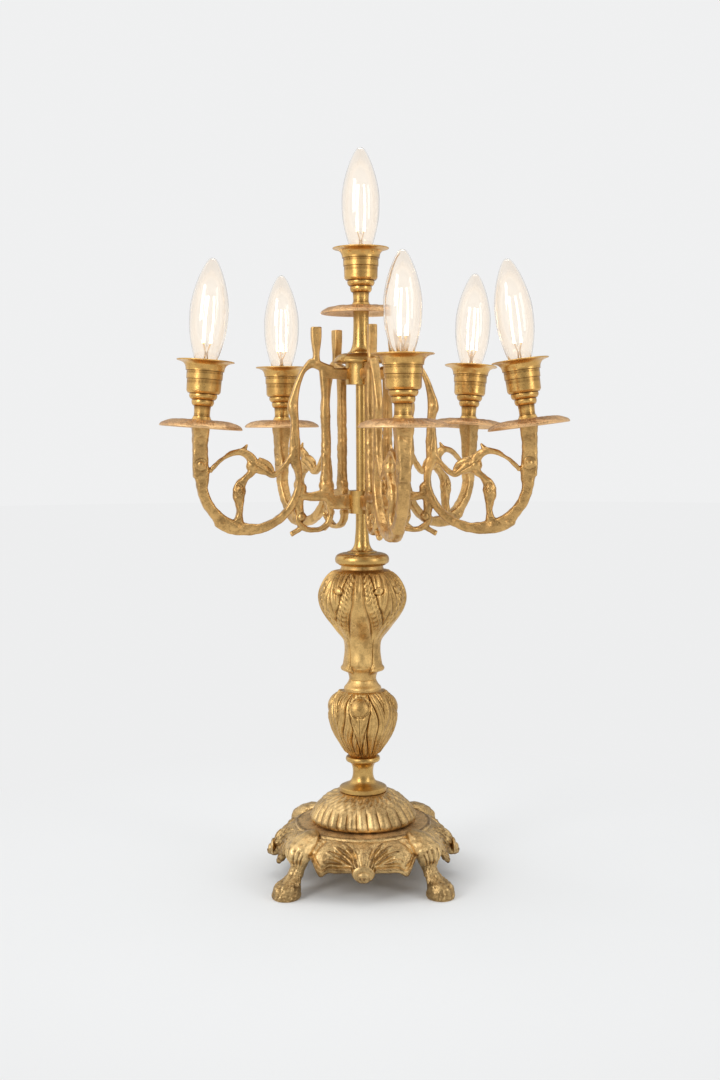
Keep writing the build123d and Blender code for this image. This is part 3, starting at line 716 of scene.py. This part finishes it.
def make_base():
    """The base's casting as one piece: the skirt, its platform and four legs."""
    verts, faces = make_skirt()
    normal = normals_of(verts, faces)
    reach = np.hypot(verts[:, 0], verts[:, 1])
    rough = ease(28, 40, reach) * (0.14 * grain(verts, 7, 1) + 0.05 * grain(verts, 2, 2))
    verts = verts + normal * rough[:, None]
    # The dome's seat stays flat.
    seat = np.hypot(verts[:, 0], verts[:, 1]) < 47
    verts[:, 2] = np.where(seat, np.minimum(verts[:, 2], PLATFORM_TOP + 0.05), verts[:, 2])
    parts = [(verts, faces)]
    # A rounded boss with a smaller oval on it hangs at the middle of each side.
    boss = ball((79.4, 0, 24.4), (2.3, 9.2, 6.8), 40, 64)
    oval = ball((81.4, 0, 23.6), (2.5, 5, 3.2), 30, 48)
    leg, pendant = make_leg(), join([boss, oval])
    for corner in (45, 135, 225, 315):
        for (points, part_faces), angle in ((leg, corner), (pendant, corner + 45)):
            c, s = cos(radians(angle)), sin(radians(angle))
            turn = np.array([[c, s, 0], [-s, c, 0], [0, 0, 1]])
            parts.append((points @ turn, part_faces))
    verts, faces = join(parts)
    piece = mesh_object("base_carved", verts, faces, CAST_BASE, "cast_brass")
    piece.data.materials.append(STIPPLED)
    bead = 56.8  # reach to the platform's raised edge
    for face in piece.data.polygons:
        if face.center.z > (PLATFORM_TOP - 0.4) * MM and face.center.xy.length < bead * MM:
            face.material_index = 1
    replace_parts(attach(piece, "stand"), "base_casting")


def gadroons(angles, height, along):
    """Bold lobes on the dome's lower part, with a low rib between them, and a rough leafy crown."""
    turn = LOBES / 2 * angles + 0.5 * np.sin(3 * angles) + 0.03 * (height - 58)
    lobe = np.abs(np.cos(turn)) ** 0.7
    rib = np.abs(np.sin(turn)) ** 12
    reach = 67 + 1.5 * np.cos(5 * angles + 1)
    low = ease(47.8, 50.4, height) * (1 - ease(reach - 7, reach, height))
    relief = low * (3.2 * lobe - 2.1 + 0.4 * rib)
    crown = ease(reach - 3, reach, height) * (1 - ease(72.3, 73.2, height))
    leafy = 0.30 * np.cos(LOBES * angles + 0.5 * height) + 0.2 * np.cos(41 * angles - 1.6 * height)
    return relief + crown * leafy


def make_dome():
    """The dome, hollow underneath."""
    path = [
        (41, 47), (43.6, 47.8), (45.2, 49.6), (45.5, 51.8), (44.4, 54.6), (42.9, 57.2), (38.9, 63),
        (33, 68.4), (26.4, 71.6), (21, 73), (16, 73.35),
    ]
    ends = [
        (ROD_HOLE, 73.35), (ROD_HOLE, 70.4), (16, 70.4), (26, 67.6), (33.6, 61.6), (39.2, 54), (39, 47),
    ]
    piece = carved("dome_carved", path, 190, 720, gadroons, CAST_BASE, "cast_brass", ends)
    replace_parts(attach(piece, "stand"), "base_dome")


# ---------------- balusters
FRONT_STALK = 5.5  # degrees between the front and the leaf stalk that nearly faces it


def from_stalk(angles):
    """Signed degrees from the nearest of four leaf stalks."""
    return (np.degrees(angles) + 90 + FRONT_STALK + 45) % 90 - 45


def acanthus(angles, height, along):
    """The upper baluster: four stalks between ribbed fronds that end in bosses, above smooth tongues."""
    u = from_stalk(angles)
    q = np.abs(u)
    rise = np.clip((height - 206) / 54, 0, 1.2)
    bulb = ease(204, 216, height) * (1 - ease(264, 267.5, height))
    # The stalk is narrow at the top and spreads into the tongue below it.
    half = 7.5 + 26 * (1 - np.clip(rise * 1.5, 0, 1)) ** 1.3
    stalk = 1.6 * (1 - ease(half - 4.5, half, q)) - 0.6 * hump(q, 0, 2.2) * ease(0.75, 0.95, rise)
    seam = -0.8 * hump(q, half + 0.9, 1.4)
    # A frond climbs from beside the stalk and curls outwards at its top.
    midrib = half + 7 + 13 * (1 - rise)
    off = (q - midrib) / (11 - 3.5 * rise)
    frond = np.clip(1 - off**2, 0, 1) ** 0.6 * ease(0.16, 0.34, rise)
    ribs = np.cos(2 * pi * (height / 4 - 0.8 * np.abs(off) * np.sign(off + 0.2)))
    relief = stalk + seam + frond * (1.1 + 0.5 * ribs * (1 - hump(off, 0, 0.2)) + 0.5 * hump(off, 0, 0.14))
    edge = q - (midrib + 9 - 1.5 * rise)
    relief = relief - 1.1 * hump(edge, 0, 1.4)
    # Between the fronds stands a broad leaf with long sloping folds.
    broad = ease(0.5, 4.5, edge) * ease(0.1, 0.3, rise)
    fold = np.cos(2 * pi * (45 - q + 0.30 * (height - 240)) / 9)
    relief = relief + broad * (0.8 + 0.75 * fold) - broad * hump(height, 219 + 0.35 * (45 - q), 1.4)
    boss = ((q - 29) * 0.63 / 3.8) ** 2 + ((height - 252 - 0.1 * (q - 29)) / 3) ** 2
    relief = np.where(boss < 1, np.maximum(relief, 1.7 * np.sqrt(np.clip(1 - boss, 0, 1)) + 0.9), relief)
    relief = relief - 0.7 * hump(np.sqrt(boss), 1.2, 0.2) * (height < 253.5)
    swell = 0.9 * np.cos(np.radians(8 * u + 1.4 * (height - 240)))
    swell = swell + 0.5 * np.cos(np.radians(5 * u - 2.2 * height))
    # The neck: a broad tongue below each stalk hides a leaf whose tip flares out beside it.
    neck = ease(178, 182, height) * (1 - ease(202, 212, height))
    front = np.abs((np.degrees(angles) + FRONT_STALK) % 180 - 90)
    side = front + 0.30 * np.maximum(200 - height, 0)
    tongue = 1 - ease(37, 40, side)
    wrap = neck * (0.5 * tongue - 0.8 * hump(side, 40.5, 1.6))
    flare = hump(height, 181.2, 3.2) * ease(171.5, 174, height)
    wrap = wrap - 3 * flare * tongue + 1.3 * (1 - tongue) * hump(height, 180.8, 2.2)
    wrap = wrap + neck * 0.35 * np.cos(np.radians(6 * u + 2 * height))
    return bulb * (0.9 * relief + 0.6 * swell) + wrap


def make_upper_baluster():
    """The upper baluster: a flared foot, a neck and a full round body."""
    path = [
        (11.8, 171.3), (12.1, 174), (13.4, 177.4), (15.6, 179.2), (17.6, 180.6), (17.2, 183.6),
        (16.5, 188), (15.6, 197), (16.2, 204), (19.2, 211), (25, 219.4), (31, 227), (36, 236),
        (37.5, 244), (35.6, 252.4), (30.6, 260.6), (23.4, 266.2), (19, 268.4), (18.4, 271.5),
    ]
    ends = [(ROD_HOLE, 271.5), (ROD_HOLE, 171.3)]
    piece = carved("upper_baluster_carved", path, 420, 720, acanthus, CAST, "cast_brass", ends)
    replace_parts(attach(piece, "stand"), "upper_baluster")


def no_relief(angles, height, along):
    """Relief of a plain turned surface: none."""
    return 0 * angles * along


def make_disc():
    """The disc on top of the baluster, with a thick rounded rim."""
    path = [
        (20.6, 271.8), (21.4, 272.5), (23, 273.4), (23.8, 275.4), (23.7, 277.6), (22.8, 279.6), (21, 281),
        (18.4, 281.9), (14.6, 282.4),
    ]
    ends = [(ROD_HOLE, 282.4), (ROD_HOLE, 271.8)]
    piece = carved("column_disc_turned", path, 60, 128, no_relief, TURNED, "turned_brass", ends)
    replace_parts(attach(piece, "stand"), "column_disc")


def petals(angles, height, along):
    """The lower baluster: four ovals with a pointed leaf under each, and sweeping lobes between them."""
    u = from_stalk(angles)
    q = np.abs(u)
    body = ease(105, 109, height) * (1 - ease(159.6, 161.8, height))
    # Lobes sweep down and in towards each leaf's tip.
    drift = 3 * np.sin(np.radians(9 * height + 3 * u))
    slant = q + drift + 0.42 * (height - 146) + 0.004 * (height - 146) ** 2
    lobes = np.abs(np.cos(np.radians(slant * 180 / 19))) ** 0.6
    relief = 2.2 * lobes - 1.3 + 0.22 * np.cos(np.radians(slant * 360 / 6.3))
    width = np.where(height > 147, 19, np.maximum(19 - (147 - height) * 0.50, 1.5))
    inside = 1 - ease(width - 1.5, width + 0.5, q)
    leaf = 0.8 + np.clip(1 - q / width, 0, 1) - 0.6 * hump(q, 0, 0.9)
    leaf = leaf + 0.40 * np.cos(2 * pi * (height - 0.9 * q) / 9.5) * ease(2, 5, q)
    relief = relief * (1 - inside) + leaf * inside - 0.9 * hump(q, width + 0.4, 1.3)
    oval = (q * 0.50 / 7.8) ** 2 + ((height - 150.6) / 7.2) ** 2
    relief = np.where(oval < 1, 2 * np.sqrt(np.clip(1 - oval, 0, 1)) + 0.5, relief)
    relief = relief - 0.8 * hump(np.sqrt(oval), 1.13, 0.11)
    swell = 0.5 * np.cos(np.radians(7 * u + 3.1 * height))
    swell = swell + 0.4 * np.cos(np.radians(11 * u - 2.3 * height))
    collar = -0.9 * hump(height, 162.4, 0.9) + 0.4 * hump(height, 164.6, 1.6)
    return body * (relief + 0.4 * swell) + collar


def make_lower_baluster():
    """The lower baluster: an upright egg under a waisted collar."""
    path = [
        (11.6, 103.8), (13.6, 106.4), (16.3, 110), (20.6, 116.8), (24.6, 124), (27.8, 133), (29, 143.4),
        (27.6, 150.8), (24.2, 156.4), (20.4, 159.6), (17.8, 161.8), (15.6, 164.6), (13.6, 167.6),
        (12.4, 169.8), (12, 171.1),
    ]
    ends = [(ROD_HOLE, 171.1), (ROD_HOLE, 103.8)]
    piece = carved("lower_baluster_carved", path, 330, 640, petals, CAST, "cast_brass", ends)
    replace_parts(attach(piece, "stand"), "lower_baluster")


# ---------------- arms
# Middle lines of an arm's bars: reach from the column's axis, height, width.
RING = [
    (142, 372, 13), (142, 366, 13.4), (140.6, 350, 12.6), (140.2, 340, 9.4), (136.6, 328.5, 9.2),
    (129.6, 318.6, 9.6), (120.4, 309.6, 12.6), (112, 306.4, 12.6), (103, 305, 10.6), (93, 304.9, 8.8),
    (82.4, 308, 7.6), (70.6, 315.6, 7.2), (63.4, 324.2, 6.8), (59, 333, 6.2), (56.5, 343, 5.8),
    (56.6, 353, 6.4), (59.6, 365, 9.6), (59.6, 380, 9), (59.6, 392, 7.6),
]
S_BAND = [
    (59.6, 388, 8), (59.8, 400, 7.2), (61.2, 411, 9.2), (59.2, 422, 6.6), (56, 433, 5),
    (50.6, 443.4, 4.8), (43.4, 448.6, 8.4), (36.4, 446, 8), (31, 443.4, 9.2), (26, 442, 9),
]
SCROLL = [
    (134, 355, 4.4), (128.6, 361, 3.9), (121.6, 366.6, 3.7), (114, 370.6, 4.8), (106.6, 371.4, 6.2),
    (99.6, 367.6, 8), (96, 361, 9.4), (98, 353.6, 7), (103, 349, 5.4), (108, 342, 10.4),
    (108.8, 335, 11.2), (108.2, 326, 6.8), (108.6, 317, 6), (110, 309, 12),
]
LEAF = [
    (98, 361, 10), (90, 357.4, 10.4), (84, 354, 6.6), (79.6, 350.8, 4.6), (74, 353.8, 4.6),
    (68.6, 360, 4.4), (63.6, 366, 6), (60, 374, 6),
]
SPUR = [(106, 371.5, 6.6), (103.2, 375.2, 3.6), (101.3, 378, 1.6)]
LEAF_TIP = [(92, 364.6, 6), (86, 362.6, 5.4), (80.6, 357.4, 4.6), (79.2, 353, 3.6)]
BAR_LEG = [
    (33.4, 446, 9.4), (32.6, 432, 8.6), (32.3, 418, 7.2), (32.4, 402, 8.6), (32.2, 388, 7.6),
    (32, 372, 8.6), (32.2, 356, 8.2), (32.2, 346, 10.8), (31.6, 336, 12),
]
PEG = [(40.4, 450, 6.6), (40.4, 456.5, 5.4), (40.4, 463, 7.2), (40.4, 470, 9), (40.4, 480.4, 9.3)]
BAR = [(56.5, 333.6, 6.6), (46, 332, 7.2), (36, 333, 10), (26, 332, 12.4)]
C_SCROLL = [
    (30.6, 331, 8), (29.2, 323, 5.6), (28.4, 315, 5.4), (31.6, 307.6, 5), (38, 303.6, 4.4),
    (45.6, 303, 4.4), (52, 305, 5.2), (56.6, 310.2, 6), (55.8, 316.4, 6), (51.8, 316.6, 5),
]
TAIL = [(52, 307.6, 5.6), (57, 303.4, 4.8), (61, 300.8, 4.8), (63.6, 299.6, 4.6)]
INNER_SPUR = [(29.6, 312, 4), (33.2, 315.2, 3.6), (34, 318.2, 2.6)]
LINK = [(57, 344, 7), (52.6, 340, 6.6), (55, 333, 7.2), (56.6, 325, 8.2), (56, 317, 7)]
# Height up the stem, half width along the arm, half width across it.
STEM = [
    (396.4, 7.8, 8.3), (393, 7.6, 8), (386, 6.9, 6.9), (379, 6.4, 6.2), (370, 6.4, 5.6), (360, 6.6, 5.3),
    (350, 6, 5.1),
]
# Round bosses, knuckles and buds along the bars, by centre and half sizes.
LUMPS = [
    ((141.8, 0, 361.2), (4.9, 6.7, 4.9)), ((54, 0, 314.6), (4.6, 4.9, 4.8)),
    ((32.2, 0, 342), (6.6, 4.9, 6)), ((108.6, 0, 338), (5.8, 5.3, 7.6)), ((96.4, 0, 360), (6.2, 5, 6.2)),
    ((113, 0, 307.2), (8.6, 5.8, 6.4)), ((124.4, 0, 310.2), (5.6, 5.5, 4.6)),
    ((61.6, 0, 409.6), (4.6, 4.3, 7)), ((60.2, 0, 372), (5, 4.4, 8)), ((42.6, 0, 448.6), (6.6, 4.6, 4.4)),
    ((32.4, 0, 402), (4.7, 4.5, 4.4)), ((32.2, 0, 372), (4.7, 4.5, 4.4)),
]


def arm_lumps():
    """An upright arm along +X, as overlapping lumps."""
    parts = [ribbon(RING, (10.6, 6.6), 28, 3.8)]
    for line, thick, square in (
        (S_BAND, (7, 8), 3.2), (SCROLL, (5.6, 8.6), 2.8), (LEAF, (7.6, 5.6), 2.8), (SPUR, (5, 1.6), 2),
        (LEAF_TIP, (7, 3.2), 2), (BAR_LEG, 8, 2.8), (PEG, 7.8, 4.5), (BAR, (7, 8), 2.8),
        (C_SCROLL, (7.6, 7), 2.6), (TAIL, (6.6, 5.2), 2.1), (INNER_SPUR, (5, 2.6), 2),
        (LINK, (6.6, 7.6), 2.2),
    ):
        parts.append(ribbon(line, thick, 20, square))
    rings = []
    for z, along, across in STEM:
        x, y = ring_points(along, across, 32, 5)
        rings.append(np.stack([141.6 + (0.5 if z < 380 else 0) + x, y, np.full(32, z)], 1))
    parts.append(lofted(rings))
    return parts + [ball(centre, half) for centre, half in LUMPS]


def arm_collar_lug(height, half, radius):
    """The block that meets a collar, hollowed to fit round it."""
    rows = []
    for x, swell in ((radius - 2, 1), (radius + 5, 1), (26, 0.92), (32, 0.9)):
        y, z = ring_points(4.5 * swell, half * swell, 28, 4.5)
        rows.append(np.stack([np.full(28, x), y, z + height], 1))
    return lofted(rows)


def arm_skin():
    """The arm's casting along +X, in millimetres: melted together, then creased and roughened."""
    lugs = [arm_collar_lug(439.5, 5, UPPER_COLLAR), arm_collar_lug(327, 6.5, LOWER_COLLAR)]
    parts = arm_lumps() + lugs
    verts, faces = fused(parts, 0.62, 3)
    normal = normals_of(verts, faces)
    x, y, z = verts.T
    face = np.clip(np.abs(normal[:, 1]) * 1.6 - 0.5, 0, 1)
    relief = 0.15 * grain(verts, 10, 11) + 0.04 * grain(verts, 3, 12)
    # Creases: along the leaf, round the bud, across the foot of the bud and round the boss.
    leaf = ease(78, 82, x) * (1 - ease(99, 104, x))
    relief -= 0.55 * face * hump(z - 0.62 * x, 357.4 - 0.62 * 90, 0.7) * leaf
    bud = np.hypot((x - 108.6) / 5.2, (z - 339) / 8)
    relief -= 0.45 * face * hump(bud, 0.66, 0.14)
    relief += 0.30 * face * (1 - ease(0.5, 0.66, bud)) * np.cos(x * 2.4) * np.cos(z * 2)
    boss = np.hypot(x - 141.8, z - 361.2)
    relief -= 0.45 * hump(boss, 5.6, 0.9)
    relief -= 0.5 * face * hump(np.hypot(x - 110, z - 317.5), 3.4, 0.5) * (z < 320)
    eye = np.hypot(x - 54, z - 314.6)
    relief -= 0.45 * face * hump(eye, 3.8, 0.8)
    upright = ease(362, 370, z) * (1 - ease(418, 424, z))
    relief -= 0.35 * face * hump(x - 59.8 - 0.5 * np.sin(z / 6), 0, 0.5) * upright
    keep = (np.hypot(x, y) > 16) & (z < 395.9)
    return verts + normal * np.where(keep, relief, 0)[:, None], faces


def make_arms():
    """The five arms, each turned to its bearing, stretched and leant as in ARMS."""
    verts, faces = arm_skin()
    collar = np.where(verts[:, 2] > 400, UPPER_COLLAR, LOWER_COLLAR)
    near = (np.hypot(verts[:, 0], verts[:, 1]) < collar + 0.02) & (verts[:, 0] < 20)
    for light, (bearing, stretch, lean) in ARMS.items():
        v = verts.copy()
        reach = np.sqrt(np.maximum(collar**2 - v[:, 1] ** 2, 1)) + 0.01
        v[:, 0] = np.where(near, np.maximum(v[:, 0], reach), v[:, 0])
        # The stem leans towards its seat.
        stem = (v[:, 0] > 120) & (v[:, 2] > STEM_FOOT)
        tip = radians(lean) * ease(STEM_FOOT, ARM_SEAT, v[:, 2])
        off = v[:, 0] - ARM_RADIUS
        v[:, 2] = np.where(stem, v[:, 2] + off * np.sin(tip), v[:, 2])
        v[:, 0] = np.where(stem, ARM_RADIUS + off * np.cos(tip), v[:, 0])
        v[:, 0] *= 1 + (stretch - 1) * ease(14, 34, v[:, 0])
        v = v @ np.array(bearing_matrix(bearing).to_3x3()).T
        piece = mesh_object("arm_carved_" + light, v, faces, CAST_ARM, "cast_brass")
        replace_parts(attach(piece, "stand"), "arm_" + light)


# ---------------- drip pans
def pan_relief(angles, height, along):
    """Shallow overlapping leaves on top, a plain polished lip at the rim."""
    top = ease(0.50, 0.56, along) * (1 - ease(0.93, 0.97, along))
    across = (along - 0.5) * 2
    leaves = np.cos(16 * angles + 5.5 * across) * np.cos(8 * angles - 9 * across)
    veins = np.cos(64 * angles + 3 * np.sin(8 * angles))
    return top * (0.26 * leaves + 0.10 * veins - 0.12)


def make_pans():
    """A shallow drip pan at each light's seat."""
    path = [
        (9.6, 0), (15, 0.9), (22, 0.5), (29, -1.3), (33.4, -3.7), (34.8, -4.2), (35.7, -3.6),
        (35.3, -2.4), (31.6, 0.3), (26, 2.1), (19, 2.85), (9.2, 2.95),
    ]
    ends = [(5, 2.95), (5, 0)]
    for light in LIGHTS:
        name = "drip_pan_carved_" + light
        piece = carved(name, path, 130, 360, pan_relief, PAN, "pan_brass", ends)
        piece.data.transform(seat_matrix(light))
        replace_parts(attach(piece, "stand"), "drip_pan_" + light)


# ---------------- inside the bulbs
def wire(points, radius, around=8):
    """A round wire through 3-D points."""
    p = [Vector(q) for q in points]
    turns = [2 * pi * k / around for k in range(around)]
    rings = []
    for i, here in enumerate(p):
        along = (p[min(i + 1, len(p) - 1)] - p[max(i - 1, 0)]).normalized()
        side = along.orthogonal().normalized()
        up = along.cross(side)
        rings.append(np.array([here + (side * cos(a) + up * sin(a)) * radius for a in turns]))
    return lofted(rings)


def lathe_part(path, around=32):
    """A plain turned part through (radius, height) points."""
    a = np.linspace(0, 2 * pi, around, endpoint=False)
    return lofted([np.stack([r * np.cos(a), r * np.sin(a), np.full(around, z)], 1) for r, z in path])


def make_envelopes():
    """Each bulb's clear envelope, with a rounded tip."""
    path = [
        (5.4, -9.8), (6.3, -6.6), (8.8, -1.6), (11, 3.9), (13.4, 12.7), (15.7, 24.1), (16.6, 37),
        (16.4, 47), (14.6, 58), (11.5, 69.5), (7.6, 79.5), (5.1, 84.4), (3, 87.2), (1.4, 88.1),
        (0.05, 88.2),
    ]
    line = smooth_path(path, 110)
    slope = np.gradient(line, axis=0)
    slope /= np.sqrt((slope**2).sum(1))[:, None]
    inner = line + GLASS_WALL * np.stack([-slope[:, 1], slope[:, 0]], 1)
    inner = [(max(r, 0.05), z) for r, z in inner[::-1]]
    for light in LIGHTS:
        name = "bulb_envelope_" + light
        piece = carved(name, path, 110, 96, no_relief, GLASS, "bulb_glass", inner)
        piece.data.transform(bulb_matrix(light))
        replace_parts(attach(piece, "bulb_" + light), "bulb_glass_" + light)


def shells(shares, reach, middle, tall):
    """Bulb-shaped skins one inside the other, for a glow that fades outwards."""
    made = []
    for share in shares:
        profile = []
        for k in range(17):
            t = -1 + k / 8
            round_off = (1 - abs(t) ** 2.4) ** 0.5 * (1 - 0.22 * t)
            radius = max(reach * share * round_off, 0.05)
            profile.append((radius, middle + tall * (0.45 + 0.55 * share) * t))
        made.append(lathe_part(profile))
    return made


def filament_parts():
    """Four rods that twist a little as they rise, and the wires that hold them."""
    low, high, twist = 4.4, 3.6, radians(14)
    rods, wires = [], []
    for k in range(4):
        a = radians(45 + 90 * k)
        c, s = cos(a), sin(a)
        top_c, top_s = cos(a + twist), sin(a + twist)
        waist = (4.7 * cos(a + twist / 2), 4.7 * sin(a + twist / 2), 35)
        rods.append(wire([(low * c, low * s, 15), waist, (high * top_c, high * top_s, 55)], 0.8, 12))
        foot = [(r * c, r * s, z) for r, z in ((1.6, 1), (0.5, 6), (2.6, 10.4), (low, 15.4))]
        head = [(r * top_c, r * top_s, z) for r, z in ((high, 54.6), (2.4, 57.6))]
        head.append((0.3 * c, 0.3 * s, 58.6))
        wires += [wire(foot, 0.42), wire(head, 0.25)]
    for side in (-1, 1):
        wires.append(wire([(1.3 * side, 0, -9.4), (1.1 * side, 0.3, 0), (0.9 * side, 0.8, 6)], 0.3))
    return rods, wires


def make_bulbs():
    """Glowing rods on gold wires, held by a pinched glass stem, inside each envelope."""
    stem = lathe_part([
        (3.9, -9.6), (3.9, -7), (3.2, -4), (2.3, -1), (1.7, 3), (1.5, 8), (1.6, 11), (0.9, 12.4)])
    pillar = lathe_part([(0.55, 12), (0.55, 58), (0.9, 58.6), (0.5, 59.4)], 16)
    rods, wires = filament_parts()
    core = shells((1, 0.88, 0.76, 0.65, 0.55, 0.46, 0.38), 10.6, 43, 30)
    veils = shells((1, 0.93, 0.86), 14.4, 40, 39)
    for light in LIGHTS:
        made = [
            mesh_object("filament_stem_" + light, *join([stem, pillar]), GLASS, "bulb_glass"),
            mesh_object("filament_rods_" + light, *join(rods), FILAMENT, "filament"),
            mesh_object("filament_wires_" + light, *join(wires), WIRE, "filament"),
            mesh_object("filament_halo_" + light, *join(core), HALO, "filament"),
            mesh_object("bulb_veil_" + light, *join(veils), VEIL, "filament"),
        ]
        for piece in made:
            piece.data.transform(bulb_matrix(light))
            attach(piece, "bulb_" + light)
        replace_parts(made[1], "bulb_filament_" + light)


make_base()
make_dome()
make_upper_baluster()
make_disc()
make_lower_baluster()
make_arms()
make_pans()
make_envelopes()
make_bulbs()
